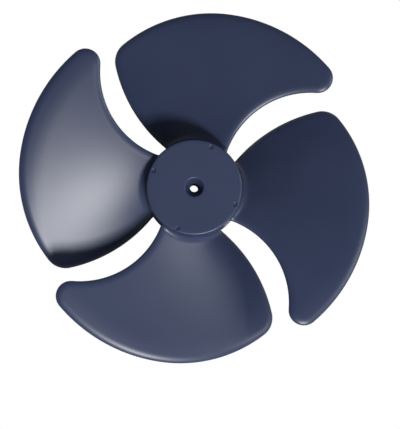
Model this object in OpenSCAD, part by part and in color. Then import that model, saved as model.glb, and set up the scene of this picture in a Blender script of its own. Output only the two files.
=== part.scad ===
// One-piece moulded axial fan: an open-backed hub cup with swept, twisted blades.
// The shaft axis is Z. The closed face of the hub looks up, and the back rim stands on z = 0.
// Seen from above it turns clockwise and pushes air down.

/* [Fan] */
// Diameter of the circle that the blade tips sweep
fan_d = 85; // [76:0.5:100]
// Number of blades
blade_count = 4; // [2:1:4]
// Thickness of a blade
blade_t = 1.4; // [1:0.1:2]

/* [Hub] */
// Diameter of the hub at its closed face
hub_d = 22.6; // [19:0.2:26]
// Height of the hub, back rim to face
hub_h = 15; // [13:0.5:18]
// How much the hub widens from the face to the back rim, on the diameter
hub_draft = 0.4; // [0:0.1:0.8]
// Thickness of the hub's side wall
hub_wall = 1.4; // [1:0.1:2]
// Thickness of the hub's face
face_t = 1.6; // [1.2:0.1:2.4]
// Radius on the rim of the face
rim_r = 0.4; // [0.2:0.1:0.8]

/* [Shaft boss] */
// Diameter of the bore that is pressed onto the motor shaft
bore_d = 2; // [1.5:0.1:3.2]
// Diameter of the funnel mouth in the face
mouth_d = 4.3; // [3.8:0.1:5]
// Depth of the funnel mouth
mouth_depth = 2.2; // [1:0.1:3]
// Diameter of the boss round the bore
boss_d = 6.6; // [6:0.2:9]
// Distance from the back rim up to the end of the boss
boss_gap = 2; // [0:0.5:4]
// Size of the lead-in at the lower end of the bore
lead_in = 0.5; // [0.2:0.1:1]
// Number of ribs from the boss to the wall
rib_count = 4; // [3:1:8]
// Thickness of a rib
rib_t = 1; // [0.6:0.1:1.6]
// Distance from the back rim up to the ribs
rib_gap = 5; // [2:0.5:8]
// Direction of the first rib and of the gate mark above it
rib_angle = 67.5; // [0:0.5:90]

/* [Gate marks] */
// Diameter of the shallow dimple at each moulding gate
gate_d = 1.3; // [0.8:0.1:1.6]
// Depth of the dimple
gate_depth = 0.3; // [0.1:0.05:0.5]
// Distance from the centre of the dimple to the edge of the face
gate_inset = 0.9; // [0.8:0.1:2]
// Diameter of the stub that the gate leaves in the dimple
gate_stub_d = 0.5; // [0.3:0.1:0.6]

/* [Blade outline] */
// Direction of the leading edge where it meets the hub
lead_angle = 47.5; // [40:0.5:55]
// Radius of the hollow leading edge
lead_r = 20.7; // [18:0.1:26]
// Direction of the forward tip
nose_angle = 41.5; // [36:0.5:46]
// Radius of the forward tip
nose_r = 3.6; // [3:0.1:5]
// How far the front arc of the outer edge is off the shaft axis
outer_shift = 4.2; // [2:0.1:6]
// Direction in which the blade reaches the swept circle
outer_angle = 50; // [44:0.5:56]
// How much smaller the rear arc of the outer edge is
outer_step = 5.5; // [2:0.1:8]
// Direction in which the rear arc takes over from the front arc
outer_join = 82; // [70:0.5:95]
// Direction in which the rear arc turns into the trailing corner
corner_angle = 128; // [122:0.5:132]
// Radius of the trailing corner
corner_r = 5.1; // [4:0.1:7]
// Radius of the full trailing edge
trail_r = 35.2; // [30:0.1:45]
// Direction of the trailing edge where it meets the hub
trail_angle = 123; // [116:0.5:128]

/* [Blade twist] */
// Depth below the hub face of the blade's middle line at the hub
root_drop = 7.4; // [6.5:0.1:8]
// Half of the fall from leading to trailing edge at the hub
root_fall = 5; // [4:0.1:5.5]
// Camber at the hub, as the rise of the middle over the two edges
root_camber = 0.9; // [0:0.1:1.5]
// Depth below the hub face of the blade's middle line at the tip
tip_drop = 5.6; // [4:0.1:6]
// Half of the fall from leading to trailing edge at the tip
tip_fall = 7.4; // [5:0.1:8]
// Camber at the tip
tip_camber = 1.8; // [0:0.1:2.2]
// How far the outer margin droops
tip_droop = 0.7; // [0:0.1:1.2]
// Width of the rounding along a blade's edge on the upper side
edge_top = 1.8; // [1:0.1:2.4]
// Width of the rounding along a blade's edge on the lower side
edge_under = 0.9; // [0.5:0.1:1.5]
// Radius of the fillet between blade and hub, half way along the blade's root
fillet_r = 2; // [0.5:0.1:2.2]

/* [Hidden] */
$fn = 48;
eps = 0.01;

fan_r = fan_d / 2;
hub_r = hub_d / 2;
base_r = hub_r + hub_draft / 2;
face_z = hub_h;
ceiling_z = hub_h - face_t;
// The blades start in the middle of the hub's wall
seat_r = hub_r - hub_wall / 2;

// Mean height of a blade over its span, and the reach of the span that twists
mid_angle = 88;
half_angle = 38;
droop_start = 0.8;
// How much of the fillet is left out at the blade's edges
fillet_fade = 0.55;

// Points along a leading or trailing edge, and along the outer edge
fillet_rows = 4;
edge_rows = 8;
bend_cols = 3;
outer_cols = 7;
side_n = 1 + fillet_rows + edge_rows + bend_cols;
across_n = 2 * bend_cols + 2 * outer_cols;
loop_n = 2 * side_n + across_n;
// Rings that round the edge, from the rim inwards, as shares of the rounding
ring_at = [0, 0.05, 0.2, 0.5, 1];
ring_n = len(ring_at) - 1;
edge_w = max(edge_top, edge_under);

// Vectors in the plane
function polar(d, a) = [d * cos(a), d * sin(a)];
function radius(p) = norm([p[0], p[1]]);
function bearing(p) = atan2(p[1], p[0]);
function heading(a, b) = atan2(b[1] - a[1], b[0] - a[0]);
function turn(a, from) = a < from ? turn(a + 360, from) : a >= from + 360 ? turn(a - 360, from) : a;
function mix(a, b, t) = a + (b - a) * t;

// The crossing of two circles that lies to the right of the line from centre a to centre b
function crossing(a, ra, b, rb) =
    let (w = b - a, l = norm(w), x = (l * l + ra * ra - rb * rb) / (2 * l))
    let (h = sqrt(max(ra * ra - x * x, 0)), u = w / l)
    a + u * x + [u[1], -u[0]] * h;

// The outline is a chain of tangent arcs: hollow leading edge, nose, two outer arcs,
// trailing corner and full trailing edge. Each arc is a centre and a radius.
outer_c = polar(outer_shift, outer_angle);
outer_r = fan_r - outer_shift;
nose_turn = nose_angle - outer_angle;
nose_reach = sqrt(pow(outer_r - nose_r, 2) - pow(outer_shift * sin(nose_turn), 2));
nose_c = polar(outer_shift * cos(nose_turn) + nose_reach, nose_angle);
rear_r = outer_r - outer_step;
rear_c = outer_c + polar(outer_step, outer_join);
corner_c = rear_c + polar(rear_r - corner_r, corner_angle);
lead_c = crossing(polar(hub_r, lead_angle), lead_r, nose_c, lead_r + nose_r);
trail_c = crossing(polar(hub_r, trail_angle), trail_r, corner_c, trail_r - corner_r);

// Directions in which neighbouring arcs touch
lead_touch = heading(lead_c, nose_c);
nose_touch = heading(outer_c, nose_c);
trail_touch = turn(heading(trail_c, corner_c), corner_angle);

// Point of an edge at distance r from the axis, on the outline drawn inwards by d
function lead_at(r, d) = crossing(lead_c, lead_r + d, [0, 0], r);
function trail_at(r, d) = crossing(trail_c, trail_r - d, [0, 0], r);
function lead_end(d) = lead_c + polar(lead_r + d, lead_touch);
function trail_end(d) = trail_c + polar(trail_r - d, trail_touch);

// Distances from the axis at which the side edges are sampled: close together in the fillet
function side_r(j, last) =
    j == 0 ? seat_r :
    j <= fillet_rows + 1 ? hub_r + fillet_r * pow((j - 1) / fillet_rows, 2) :
    mix(hub_r + fillet_r, last, (j - 1 - fillet_rows) / edge_rows);

function arc_pts(c, r, from, to, n, first) = [for (i = [first:n]) c + polar(r, mix(from, to, i / n))];

// The whole outline drawn inwards by d: out along the leading edge, back over the trailing edge
function outline(d) =
    let (lead_n = side_n - bend_cols, nose_mid = (lead_touch - 180 + nose_touch) / 2)
    let (corner_mid = (corner_angle + trail_touch) / 2)
    concat(
        [for (j = [0:lead_n - 1]) lead_at(side_r(j, radius(lead_end(d))), d)],
        [lead_end(d)],
        arc_pts(nose_c, nose_r - d, lead_touch - 180, nose_mid, bend_cols, 1),
        arc_pts(nose_c, nose_r - d, nose_mid, nose_touch, bend_cols, 1),
        arc_pts(outer_c, outer_r - d, nose_touch, outer_join, outer_cols, 1),
        arc_pts(rear_c, rear_r - d, outer_join, corner_angle, outer_cols, 1),
        arc_pts(corner_c, corner_r - d, corner_angle, corner_mid, bend_cols, 1),
        arc_pts(corner_c, corner_r - d, corner_mid, trail_touch, bend_cols, 1),
        [for (j = [lead_n - 1:-1:0]) trail_at(side_r(j, radius(trail_end(d))), d)]
    );

// Share of the span from the hub to the tip, and place across it from -1 to 1
function span(p) = (radius(p) - hub_r) / (fan_r - hub_r);
function across(p) = (bearing(p) - mid_angle) / half_angle;

// Height of a blade's middle surface
function blade_z(p) =
    let (t = span(p), u = across(p), droop = max(0, (t - droop_start) / (1 - droop_start)))
    face_z - mix(root_drop, tip_drop, t)
        - mix(root_fall, tip_fall, t) * u
        - mix(root_camber, tip_camber, t) * (u * u - 1)
        - tip_droop * droop * droop;

// Unit normal of the middle surface, from its slopes
function blade_normal(p) =
    let (sx = (blade_z(p + [eps, 0]) - blade_z(p - [eps, 0])) / (2 * eps))
    let (sy = (blade_z(p + [0, eps]) - blade_z(p - [0, eps])) / (2 * eps))
    [-sx, -sy, 1] / norm([sx, sy, 1]);

// Growth of the thickness in the fillet, a quarter circle against the hub's wall
function fillet(p) =
    let (r = fillet_r * (1 - fillet_fade * pow(across(p), 2)), x = r - max(0, radius(p) - hub_r))
    x <= 0 ? 0 : r - sqrt(r * r - x * x);

// Share of the thickness at distance d from the rim: an elliptical edge of width w
function edge(d, w) = d >= w ? 1 : sqrt(1 - pow(1 - d / w, 2));

function on_side(p, d, side) =
    let (w = side > 0 ? edge_top : edge_under, half = blade_t / 2 + fillet(p))
    [p[0], p[1], blade_z(p)] + side * half * edge(d, w) * blade_normal(p);

rings = [for (s = ring_at) outline(s * edge_w)];
inner = rings[ring_n];

// Points inside the last ring are blended from its four sides in polar coordinates
function in_polar(p) = [radius(p), bearing(p)];
function side_a(j) = in_polar(inner[j]);
function side_b(j) = in_polar(inner[loop_n - j]);
function outer(i) = in_polar(inner[side_n + i]);
function root(i) = [seat_r, mix(side_a(0)[1], side_b(0)[1], i / across_n)];
function share(j) = (side_a(j)[0] - side_a(0)[0]) / (side_a(side_n)[0] - side_a(0)[0]);
function blend(i, j) =
    let (u = i / across_n, v = share(j))
    let (q = mix(root(i), outer(i), v) + mix(side_a(j), side_b(j), u))
    q - mix(mix(root(0), root(across_n), u), mix(outer(0), outer(across_n), u), v);
function patch(i, j) =
    i == 0 ? inner[j] :
    i == across_n ? inner[loop_n - j] :
    j == side_n ? inner[side_n + i] :
    polar(blend(i, j)[0], blend(i, j)[1]);

// One blade as a closed mesh: rim, then rings and middle of the upper side, then the lower side
function side_points(side) = concat(
    [for (k = [1:ring_n]) for (p = rings[k]) on_side(p, ring_at[k] * edge_w, side)],
    [for (j = [0:side_n - 1]) for (i = [1:across_n - 1]) on_side(patch(i, j), edge_w, side)]
);
function rim_points() = [for (p = rings[0]) [p[0], p[1], blade_z(p)]];
per_side = ring_n * (loop_n + 1) + side_n * (across_n - 1);

function at_ring(side, k, m) = k == 0 ? m : (loop_n + 1) * k + side * per_side + m;
function at_patch(side, i, j) =
    i == 0 ? at_ring(side, ring_n, j) :
    i == across_n ? at_ring(side, ring_n, loop_n - j) :
    j == side_n ? at_ring(side, ring_n, side_n + i) :
    (loop_n + 1) * (ring_n + 1) + side * per_side + j * (across_n - 1) + i - 1;
function quad(a, b, c, d) = [[a, b, c], [a, c, d]];
function flip(faces, side) = [for (f = faces) side == 0 ? [f[2], f[1], f[0]] : f];
function side_faces(side) = flip(concat(
    [for (k = [0:ring_n - 1]) for (m = [0:loop_n - 1]) each quad(
        at_ring(side, k, m), at_ring(side, k, m + 1), at_ring(side, k + 1, m + 1), at_ring(side, k + 1, m))],
    [for (j = [0:side_n - 1]) for (i = [0:across_n - 1]) each quad(
        at_patch(side, i, j), at_patch(side, i, j + 1), at_patch(side, i + 1, j + 1), at_patch(side, i + 1, j))]
), side);
// The end inside the hub's wall, from the leading to the trailing edge
function end_line(side) = concat(
    [for (k = [0:ring_n]) at_ring(side, k, 0)],
    [for (i = [1:across_n - 1]) at_patch(side, i, 0)],
    [for (k = [ring_n:-1:0]) at_ring(side, k, loop_n)]
);
function end_faces() =
    let (a = end_line(0), b = end_line(1), n = len(a))
    concat(
        [[a[0], b[1], a[1]]],
        [for (i = [1:n - 3]) each quad(a[i], b[i], b[i + 1], a[i + 1])],
        [[a[n - 2], b[n - 2], a[n - 1]]]
    );

module blade() {
    polyhedron(
        points = concat(rim_points(), side_points(1), side_points(-1)),
        faces = concat(side_faces(0), side_faces(1), end_faces()),
        convexity = 6
    );
}

// Half section of the cup, with a rounded rim on the face
module cup_section() {
    polygon(concat(
        [[0, ceiling_z], [0, face_z]],
        [for (a = [90:-15:0]) [hub_r - rim_r, face_z - rim_r] + polar(rim_r, a)],
        [[base_r, 0], [base_r - hub_wall, 0], [hub_r - hub_wall, ceiling_z]]
    ));
}

module boss() {
    translate([0, 0, boss_gap])
        cylinder(d = boss_d, h = ceiling_z - boss_gap + eps);
}

module ribs() {
    for (i = [0:rib_count - 1])
        rotate([0, 0, rib_angle + i * 360 / rib_count])
            translate([boss_d / 2 - rib_t / 2, -rib_t / 2, rib_gap])
                cube([seat_r - boss_d / 2 + rib_t / 2, rib_t, ceiling_z - rib_gap + eps]);
}

module shaft_hole() {
    translate([0, 0, -eps])
        cylinder(d = bore_d, h = hub_h + 2 * eps);
    translate([0, 0, boss_gap - eps])
        cylinder(d1 = bore_d + 2 * lead_in, d2 = bore_d, h = lead_in);
    translate([0, 0, face_z - mouth_depth])
        cylinder(d1 = bore_d, d2 = mouth_d, h = mouth_depth + eps);
}

module at_gates() {
    for (i = [0:blade_count - 1])
        rotate([0, 0, rib_angle + i * 360 / blade_count])
            translate([hub_r - gate_inset, 0, face_z - gate_depth])
                children();
}

module gate_dimples() {
    ball_r = (gate_d * gate_d / 4 + gate_depth * gate_depth) / (2 * gate_depth);
    at_gates()
        translate([0, 0, ball_r])
            sphere(r = ball_r, $fn = 24);
}

// Each stub starts under its dimple and stays just under the face
module gate_stubs() {
    at_gates()
        translate([0, 0, -gate_stub_d])
            cylinder(d = gate_stub_d, h = gate_stub_d + 0.8 * gate_depth, $fn = 24);
}

module hub() {
    difference() {
        union() {
            rotate_extrude()
                cup_section();
            boss();
            ribs();
        }
        shaft_hole();
        gate_dimples();
    }
    gate_stubs();
}

module fan() {
    color([0.16, 0.19, 0.30]) {
        hub();
        for (i = [0:blade_count - 1])
            rotate([0, 0, i * 360 / blade_count])
                blade();
    }
}

fan();
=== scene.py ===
import math

import bmesh
import bpy
from mathutils import Matrix, Vector


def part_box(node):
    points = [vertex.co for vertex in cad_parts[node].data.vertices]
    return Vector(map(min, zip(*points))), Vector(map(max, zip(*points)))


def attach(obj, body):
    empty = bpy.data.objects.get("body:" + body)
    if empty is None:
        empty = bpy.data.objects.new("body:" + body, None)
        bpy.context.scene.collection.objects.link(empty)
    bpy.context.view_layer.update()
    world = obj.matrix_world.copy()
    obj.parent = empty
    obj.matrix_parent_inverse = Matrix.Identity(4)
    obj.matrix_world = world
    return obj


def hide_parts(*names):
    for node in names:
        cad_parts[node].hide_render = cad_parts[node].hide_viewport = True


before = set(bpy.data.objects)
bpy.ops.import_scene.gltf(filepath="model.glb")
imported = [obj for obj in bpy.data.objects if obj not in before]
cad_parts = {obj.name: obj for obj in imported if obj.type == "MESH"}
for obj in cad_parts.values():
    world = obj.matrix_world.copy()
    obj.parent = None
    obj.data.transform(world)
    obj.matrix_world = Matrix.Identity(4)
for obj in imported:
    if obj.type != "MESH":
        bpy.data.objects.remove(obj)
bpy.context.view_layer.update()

MM = 0.001

# Sizes in millimetres and degrees, as in the CAD source
FAN_R, BLADES, BLADE_T = 42.5, 4, 1.4
HUB_R, HUB_H, HUB_DRAFT, HUB_WALL, FACE_T, RIM_R = 11.3, 15.0, 0.4, 1.4, 1.6, 0.4
BORE_R, MOUTH_R, MOUTH_DEPTH, BOSS_R, BOSS_GAP, LEAD_IN = 1.0, 2.15, 2.2, 3.3, 2.0, 0.5
RIBS, RIB_T, RIB_GAP, RIB_ANGLE = 4, 1.0, 5.0, 67.5
GATE_D, GATE_DEPTH, GATE_INSET, STUB_D = 1.3, 0.3, 0.9, 0.5
LEAD_ANGLE, LEAD_R, NOSE_ANGLE, NOSE_R = 47.5, 20.7, 41.5, 3.6
OUTER_SHIFT, OUTER_ANGLE, OUTER_STEP, OUTER_JOIN = 4.2, 50.0, 5.5, 82.0
CORNER_ANGLE, CORNER_R, TRAIL_R, TRAIL_ANGLE = 128.0, 5.1, 35.2, 123.0
ROOT_DROP, ROOT_FALL, ROOT_CAMBER = 7.4, 5.0, 0.9
TIP_DROP, TIP_FALL, TIP_CAMBER, TIP_DROOP = 5.6, 7.4, 1.8, 0.7
EDGE_TOP, EDGE_UNDER, FILLET_R, FILLET_FADE = 1.8, 0.9, 2.0, 0.55
MID_ANGLE, HALF_ANGLE, DROOP_START = 88.0, 38.0, 0.8
SEAT_R = HUB_R - HUB_WALL / 2
# Small roundings of the hub: mouth, corners under the face, and all other edges
LIP_R, CEILING_R, SOFT_R = 0.25, 0.4, 0.15
# Above this angle between two faces an edge is drawn sharp
SHARP_ANGLE = 38

# How finely the moulding is divided
FILLET_ROWS, EDGE_ROWS, BEND_COLS, OUTER_COLS = ((9, 26, 8, 24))
RING_AT = [0, 0.008, 0.03, 0.07, 0.125, 0.2, 0.3, 0.42, 0.56, 0.72, 0.86, 1]
ROUND = 256


def polar(r, a):
    return Vector((r * math.cos(math.radians(a)), r * math.sin(math.radians(a))))


def bearing(p):
    return math.degrees(math.atan2(p[1], p[0]))


def radius(p):
    return math.hypot(p[0], p[1])


def heading(a, b):
    return bearing(b - a)


def mix(a, b, t):
    return a + (b - a) * t


def crossing(a, ra, b, rb):
    """The crossing of two circles that lies to the right of the line from centre a to centre b."""
    w = b - a
    l = w.length
    x = (l * l + ra * ra - rb * rb) / (2 * l)
    h = math.sqrt(max(ra * ra - x * x, 0))
    u = w / l
    return a + u * x + Vector((u.y, -u.x)) * h


# The blade's outline: a chain of tangent arcs
outer_c = polar(OUTER_SHIFT, OUTER_ANGLE)
outer_r = FAN_R - OUTER_SHIFT
nose_turn = math.radians(NOSE_ANGLE - OUTER_ANGLE)
nose_reach = math.sqrt((outer_r - NOSE_R) ** 2 - (OUTER_SHIFT * math.sin(nose_turn)) ** 2)
nose_c = polar(OUTER_SHIFT * math.cos(nose_turn) + nose_reach, NOSE_ANGLE)
rear_r = outer_r - OUTER_STEP
rear_c = outer_c + polar(OUTER_STEP, OUTER_JOIN)
corner_c = rear_c + polar(rear_r - CORNER_R, CORNER_ANGLE)
lead_c = crossing(polar(HUB_R, LEAD_ANGLE), LEAD_R, nose_c, LEAD_R + NOSE_R)
trail_c = crossing(polar(HUB_R, TRAIL_ANGLE), TRAIL_R, corner_c, TRAIL_R - CORNER_R)
lead_touch = heading(lead_c, nose_c)
nose_touch = heading(outer_c, nose_c)
trail_touch = heading(trail_c, corner_c) % 360

side_n = 1 + FILLET_ROWS + EDGE_ROWS + BEND_COLS
across_n = 2 * BEND_COLS + 2 * OUTER_COLS
loop_n = 2 * side_n + across_n
edge_w = max(EDGE_TOP, EDGE_UNDER)
axis_point = Vector((0, 0))


def lead_at(r, d):
    return crossing(lead_c, LEAD_R + d, axis_point, r)


def trail_at(r, d):
    return crossing(trail_c, TRAIL_R - d, axis_point, r)


def side_r(j, last):
    if j == 0:
        return SEAT_R
    if j <= FILLET_ROWS + 1:
        return HUB_R + FILLET_R * ((j - 1) / FILLET_ROWS) ** 2
    return mix(HUB_R + FILLET_R, last, (j - 1 - FILLET_ROWS) / EDGE_ROWS)


def arc(c, r, start, end, n):
    return [c + polar(r, mix(start, end, i / n)) for i in range(1, n + 1)]


def outline(d):
    """The whole outline drawn inwards by d: out along the leading edge, back over the trailing edge."""
    rows = side_n - BEND_COLS
    lead_end = lead_c + polar(LEAD_R + d, lead_touch)
    trail_end = trail_c + polar(TRAIL_R - d, trail_touch)
    nose_mid = (lead_touch - 180 + nose_touch) / 2
    corner_mid = (CORNER_ANGLE + trail_touch) / 2
    points = [lead_at(side_r(j, lead_end.length), d) for j in range(rows)] + [lead_end]
    points += arc(nose_c, NOSE_R - d, lead_touch - 180, nose_mid, BEND_COLS)
    points += arc(nose_c, NOSE_R - d, nose_mid, nose_touch, BEND_COLS)
    points += arc(outer_c, outer_r - d, nose_touch, OUTER_JOIN, OUTER_COLS)
    points += arc(rear_c, rear_r - d, OUTER_JOIN, CORNER_ANGLE, OUTER_COLS)
    points += arc(corner_c, CORNER_R - d, CORNER_ANGLE, corner_mid, BEND_COLS)
    points += arc(corner_c, CORNER_R - d, corner_mid, trail_touch, BEND_COLS)
    return points + [trail_at(side_r(j, trail_end.length), d) for j in range(rows - 1, -1, -1)]


def blade_z(x, y):
    t = (math.hypot(x, y) - HUB_R) / (FAN_R - HUB_R)
    u = (math.degrees(math.atan2(y, x)) - MID_ANGLE) / HALF_ANGLE
    droop = max(0, (t - DROOP_START) / (1 - DROOP_START))
    return (HUB_H - mix(ROOT_DROP, TIP_DROP, t) - mix(ROOT_FALL, TIP_FALL, t) * u
            - mix(ROOT_CAMBER, TIP_CAMBER, t) * (u * u - 1) - TIP_DROOP * droop * droop)


def blade_normal(x, y, e=0.01):
    sx = (blade_z(x + e, y) - blade_z(x - e, y)) / (2 * e)
    sy = (blade_z(x, y + e) - blade_z(x, y - e)) / (2 * e)
    return Vector((-sx, -sy, 1)).normalized()


def wall_r(z):
    return HUB_R + HUB_DRAFT / 2 * (1 - z / HUB_H)


def fillet(x, y):
    """Growth of the half thickness against the hub's wall, a quarter circle."""
    u = (math.degrees(math.atan2(y, x)) - MID_ANGLE) / HALF_ANGLE
    r = FILLET_R * (1 - FILLET_FADE * u * u)
    x_in = r - max(0, math.hypot(x, y) - wall_r(blade_z(x, y)))
    return 0 if x_in <= 0 else r - math.sqrt(r * r - x_in * x_in)


def edge(d, w):
    return 1 if d >= w else math.sqrt(1 - (1 - d / w) ** 2)


def on_side(p, d, side):
    half = BLADE_T / 2 + fillet(p.x, p.y)
    lift = side * half * edge(d, EDGE_TOP if side > 0 else EDGE_UNDER)
    return Vector((p.x, p.y, blade_z(p.x, p.y))) + blade_normal(p.x, p.y) * lift


def inner_patch(inner):
    """Points inside the last ring, blended from its four sides in polar coordinates."""
    turn = [Vector((radius(p), bearing(p))) for p in inner]
    a = lambda j: turn[j]
    b = lambda j: turn[loop_n - j]
    far = lambda i: turn[side_n + i]
    near = lambda i: Vector((SEAT_R, mix(a(0).y, b(0).y, i / across_n)))
    rows = []
    for j in range(side_n):
        v = (a(j).x - a(0).x) / (a(side_n).x - a(0).x)
        row = []
        for i in range(1, across_n):
            u = i / across_n
            q = mix(near(i), far(i), v) + mix(a(j), b(j), u)
            q -= mix(mix(near(0), near(across_n), u), mix(far(0), far(across_n), u), v)
            row.append(polar(q.x, q.y))
        rows.append(row)
    return rows


def blade_mesh(bm, turn):
    """One closed blade, turned about the shaft axis by turn degrees."""
    spin = Matrix.Rotation(math.radians(turn), 3, "Z")
    rings = [outline(s * edge_w) for s in RING_AT]
    middle = inner_patch(rings[-1])
    add = lambda co: bm.verts.new(spin @ co)
    rim = [add(Vector((p.x, p.y, blade_z(p.x, p.y)))) for p in rings[0]]
    ends = []
    for side in (1, -1):
        loops = [rim]
        loops += [[add(on_side(p, s * edge_w, side)) for p in ring]
                  for s, ring in zip(RING_AT[1:], rings[1:])]
        grid = [[add(on_side(p, edge_w, side)) for p in row] for row in middle]
        last = loops[-1]

        def at(i, j):
            if i == 0:
                return last[j]
            if i == across_n:
                return last[loop_n - j]
            return last[side_n + i] if j == side_n else grid[j][i - 1]

        def face(*vs):
            bm.faces.new(vs if side < 0 else vs[::-1])

        for k in range(len(loops) - 1):
            for m in range(loop_n):
                face(loops[k][m], loops[k][m + 1], loops[k + 1][m + 1], loops[k + 1][m])
        for j in range(side_n):
            for i in range(across_n):
                face(at(i, j), at(i, j + 1), at(i + 1, j + 1), at(i + 1, j))
        lead, trail = [l[0] for l in loops], [l[loop_n] for l in loops[::-1]]
        ends.append(lead + [at(i, 0) for i in range(1, across_n)] + trail)
    a, b = ends
    n = len(a)
    bm.faces.new((a[0], b[1], a[1]))
    for i in range(1, n - 2):
        bm.faces.new((a[i], b[i], b[i + 1], a[i + 1]))
    bm.faces.new((a[n - 2], b[n - 2], a[n - 1]))


def bend(cx, cz, r, start, end, n):
    """Points of a rounded corner in the half section."""
    return [(cx + r * math.cos(math.radians(mix(start, end, i / n))),
             cz + r * math.sin(math.radians(mix(start, end, i / n)))) for i in range(n + 1)]


def rows_between(a, b, n):
    return [(mix(a[0], b[0], i / n), mix(a[1], b[1], i / n)) for i in range(1, n)]


def hub_section():
    """Half section of the hub with its boss and through bore, anticlockwise from the face outwards."""
    base = HUB_R + HUB_DRAFT / 2
    ceiling = HUB_H - FACE_T
    soft = SOFT_R
    wall_top = (HUB_R, HUB_H - RIM_R)
    face_out = bend(HUB_R - RIM_R, HUB_H - RIM_R, RIM_R, 90, 0, 6)
    mouth = bend(MOUTH_R + LIP_R, HUB_H - LIP_R, LIP_R, 152, 90, 5)
    foot = bend(base - soft, soft, soft, 0, -90, 3)
    foot += bend(base - HUB_WALL + soft, soft, soft, -90, -180, 3)
    top_in = (HUB_R - HUB_WALL, ceiling)
    points = mouth + rows_between(mouth[-1], face_out[0], 14) + face_out
    points += rows_between(wall_top, foot[0], 24) + foot
    points += rows_between(foot[-1], top_in, 8)
    points += bend(top_in[0] - CEILING_R, ceiling - CEILING_R, CEILING_R, 0, 90, 4)
    points += bend(BOSS_R + CEILING_R, ceiling - CEILING_R, CEILING_R, 90, 180, 4)
    points += bend(BOSS_R - soft, BOSS_GAP + soft, soft, 0, -90, 3)
    points += [(BORE_R + LEAD_IN, BOSS_GAP), (BORE_R, BOSS_GAP + LEAD_IN)]
    points += rows_between((BORE_R, BOSS_GAP + LEAD_IN), (BORE_R, HUB_H - MOUTH_DEPTH), 6)
    return points + [(BORE_R, HUB_H - MOUTH_DEPTH)]


def hub_mesh(bm):
    section = hub_section()
    loops = []
    for k in range(ROUND):
        a = math.tau * (k + 0.5) / ROUND
        loops.append([bm.verts.new((r * math.cos(a), r * math.sin(a), z)) for r, z in section])
    n = len(section)
    for k in range(ROUND):
        one, two = loops[k], loops[(k + 1) % ROUND]
        for m in range(n):
            bm.faces.new((one[m], one[(m + 1) % n], two[(m + 1) % n], two[m]))


def rib_mesh(bm):
    top = HUB_H - FACE_T + 0.3
    inside, outside = BOSS_R - 0.5, HUB_R - HUB_WALL / 2
    for k in range(RIBS):
        spin = Matrix.Rotation(math.radians(RIB_ANGLE + 360 / RIBS * k), 4, "Z")
        size = Matrix.Diagonal((outside - inside, RIB_T, top - RIB_GAP, 1))
        place = Matrix.Translation(((outside + inside) / 2, 0, (top + RIB_GAP) / 2))
        bmesh.ops.create_cube(bm, size=1, matrix=spin @ place @ size)


def at_gates():
    return [Matrix.Rotation(math.radians(RIB_ANGLE + 360 / BLADES * k), 4, "Z")
            @ Matrix.Translation((HUB_R - GATE_INSET, 0, HUB_H - GATE_DEPTH)) for k in range(BLADES)]


def dimple_mesh(bm):
    r = (GATE_D ** 2 / 4 + GATE_DEPTH ** 2) / (2 * GATE_DEPTH)
    for place in at_gates():
        bmesh.ops.create_uvsphere(bm, u_segments=48, v_segments=32, radius=r,
                                  matrix=place @ Matrix.Translation((0, 0, r)))


def stub_mesh(bm):
    height = STUB_D + 0.8 * GATE_DEPTH
    for place in at_gates():
        bmesh.ops.create_cone(bm, cap_ends=True, segments=24, depth=height,
                              radius1=STUB_D / 2, radius2=STUB_D / 2 * 0.8,
                              matrix=place @ Matrix.Translation((0, 0, height / 2 - STUB_D)))


def solid(name, *makers):
    """A new object from closed shells, turned to face outwards."""
    bm = bmesh.new()
    for make in makers:
        make(bm)
    bmesh.ops.recalc_face_normals(bm, faces=bm.faces)
    mesh = bpy.data.meshes.new(name)
    bm.to_mesh(mesh)
    bm.free()
    obj = bpy.data.objects.new(name, mesh)
    bpy.context.scene.collection.objects.link(obj)
    return obj


def combine(body, other, how):
    """Unites body with other, or cuts other out of it, and removes other."""
    mod = body.modifiers.new(how.lower(), "BOOLEAN")
    mod.operation = how
    mod.solver = "MANIFOLD"
    mod.object = other
    apply_modifiers(body)
    bpy.data.objects.remove(other)


def apply_modifiers(obj):
    bpy.context.view_layer.update()
    mesh = bpy.data.meshes.new_from_object(obj.evaluated_get(bpy.context.evaluated_depsgraph_get()))
    old = obj.data
    obj.modifiers.clear()
    obj.data = mesh
    bpy.data.meshes.remove(old)


fan = solid("fan_moulding", hub_mesh)
combine(fan, solid("ribs", rib_mesh), "UNION")
turned = [lambda bm, k=k: blade_mesh(bm, 360 / BLADES * k) for k in range(BLADES)]
combine(fan, solid("blades", *turned), "UNION")
combine(fan, solid("dimples", dimple_mesh), "DIFFERENCE")
combine(fan, solid("stubs", stub_mesh), "UNION")

# The finer outline may pass the CAD's facets by a hair, so it is brought back inside the CAD box
low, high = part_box("fan")
reach = [max(abs(v.co[i]) for v in fan.data.vertices) for i in range(3)]
fit = [min(1, high[i] / (reach[i] * MM)) for i in range(3)]
fan.data.transform(Matrix.Diagonal((fit[0] * MM, fit[1] * MM, fit[2] * MM, 1)))
fan.data.shade_smooth()
fan.data.set_sharp_from_angle(angle=math.radians(SHARP_ANGLE))


def node(tree, kind, **inputs):
    n = tree.nodes.new(kind)
    for key, value in inputs.items():
        if hasattr(n, key):
            setattr(n, key, value)
        else:
            n.inputs[key.replace("_", " ")].default_value = value
    return n


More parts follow.
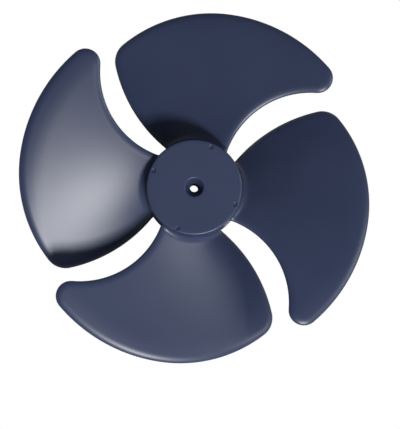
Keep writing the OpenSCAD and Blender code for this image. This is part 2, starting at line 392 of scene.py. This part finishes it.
def moulded_plastic():
    mat = bpy.data.materials.new("moulded_plastic")
    mat.use_nodes = True
    tree = mat.node_tree
    shader = tree.nodes["Principled BSDF"]
    link = tree.links.new
    place = tree.nodes.new("ShaderNodeTexCoord")
    cloud = node(tree, "ShaderNodeTexNoise", Scale=60.0, Detail=3.0, Roughness=0.5)
    link(place.outputs["Object"], cloud.inputs["Vector"])
    ramp = tree.nodes.new("ShaderNodeValToRGB")
    ramp.color_ramp.elements[0].position = 0.3
    ramp.color_ramp.elements[0].color = (0.028, 0.040, 0.090, 1)
    ramp.color_ramp.elements[1].position = 0.7
    ramp.color_ramp.elements[1].color = (0.033, 0.046, 0.100, 1)
    link(cloud.outputs["Fac"], ramp.inputs["Fac"])
    link(ramp.outputs["Color"], shader.inputs["Base Color"])
    shader.inputs["Roughness"].default_value = 0.38
    shader.inputs["IOR"].default_value = 1.5
    return mat


fan.data.materials.clear()
fan.data.materials.append(moulded_plastic())
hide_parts("fan")
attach(fan, "root")


# Half the side of the floor, in metres
FLOOR_HALF = 0.6


def floor():
    bm = bmesh.new()
    bmesh.ops.create_grid(bm, x_segments=1, y_segments=1, size=FLOOR_HALF)
    mesh = bpy.data.meshes.new("floor")
    bm.to_mesh(mesh)
    bm.free()
    obj = bpy.data.objects.new("floor", mesh)
    bpy.context.scene.collection.objects.link(obj)
    mat = bpy.data.materials.new("floor")
    mat.use_nodes = True
    tree = mat.node_tree
    tree.nodes.clear()
    link = tree.links.new
    out = tree.nodes.new("ShaderNodeOutputMaterial")
    matte = node(tree, "ShaderNodeBsdfDiffuse", Color=(0.8, 0.8, 0.8, 1))
    white = node(tree, "ShaderNodeEmission", Color=(1, 1, 1, 1), Strength=1.0)
    both = tree.nodes.new("ShaderNodeMixShader")
    path = tree.nodes.new("ShaderNodeLightPath")
    link(path.outputs["Is Camera Ray"], both.inputs["Fac"])
    link(matte.outputs[0], both.inputs[1])
    link(white.outputs[0], both.inputs[2])
    link(both.outputs[0], out.inputs["Surface"])
    mesh.materials.append(mat)
    return obj


floor()


def lamp(name, azimuth, height, distance, size, power, colour=(1, 1, 1)):
    """A square soft lamp in direction azimuth (from +X towards +Y) at that height angle, aimed at the fan."""
    data = bpy.data.lights.new(name, "AREA")
    data.size = size
    data.energy = power
    data.color = colour
    obj = bpy.data.objects.new(name, data)
    h = math.radians(height)
    flat = polar(math.cos(h), azimuth)
    direction = Vector((flat.x, flat.y, math.sin(h)))
    obj.location = direction * distance + Vector((0, 0, 0.009))
    obj.rotation_euler = direction.to_track_quat("Z", "Y").to_euler()
    bpy.context.scene.collection.objects.link(obj)


lamp("key", -75, 50, 0.8, 0.18, 6)
lamp("fill", 0, 35, 0.8, 0.4, 2)

world = bpy.data.worlds.new("world")
bpy.context.scene.world = world
world.use_nodes = True
world.node_tree.nodes["Background"].inputs["Color"].default_value = (1, 1, 1, 1)
world.node_tree.nodes["Background"].inputs["Strength"].default_value = 0.1

# The camera looks almost straight down, from a little below the middle of the picture and
# to its left. LEAN is how far a point moves in the picture for each mm that it is higher.
PX_PER_MM = 4.2235
WIDE, HIGH = 400, 429
LEAN_X, LEAN_Y = 0.06, 0.19
CENTRE_PX = (194.0, 188.53)
CENTRE_Z = 9.0
DISTANCE = 1.6
camera = bpy.data.cameras.new("camera")
camera.sensor_width = 36
camera.lens = 36 * DISTANCE / (HIGH / PX_PER_MM * MM)
camera.clip_start, camera.clip_end = 0.1, 10
cam = bpy.data.objects.new("camera", camera)
bpy.context.scene.collection.objects.link(cam)
back = Vector((-LEAN_X / PX_PER_MM, -LEAN_Y / PX_PER_MM, 1)).normalized()
right = Vector((1, 0, 0)) - back * back.x
right.normalize()
up = back.cross(right)
middle = Vector((0, 0, CENTRE_Z * MM))
off = right * (WIDE / 2 - CENTRE_PX[0]) - up * (HIGH / 2 - CENTRE_PX[1])
aim = middle + off / PX_PER_MM * MM
cam.matrix_world = Matrix((right, up, back)).transposed().to_4x4()
cam.location = aim + back * DISTANCE
bpy.context.scene.camera = cam

bpy.context.scene.view_settings.view_transform = "Standard"
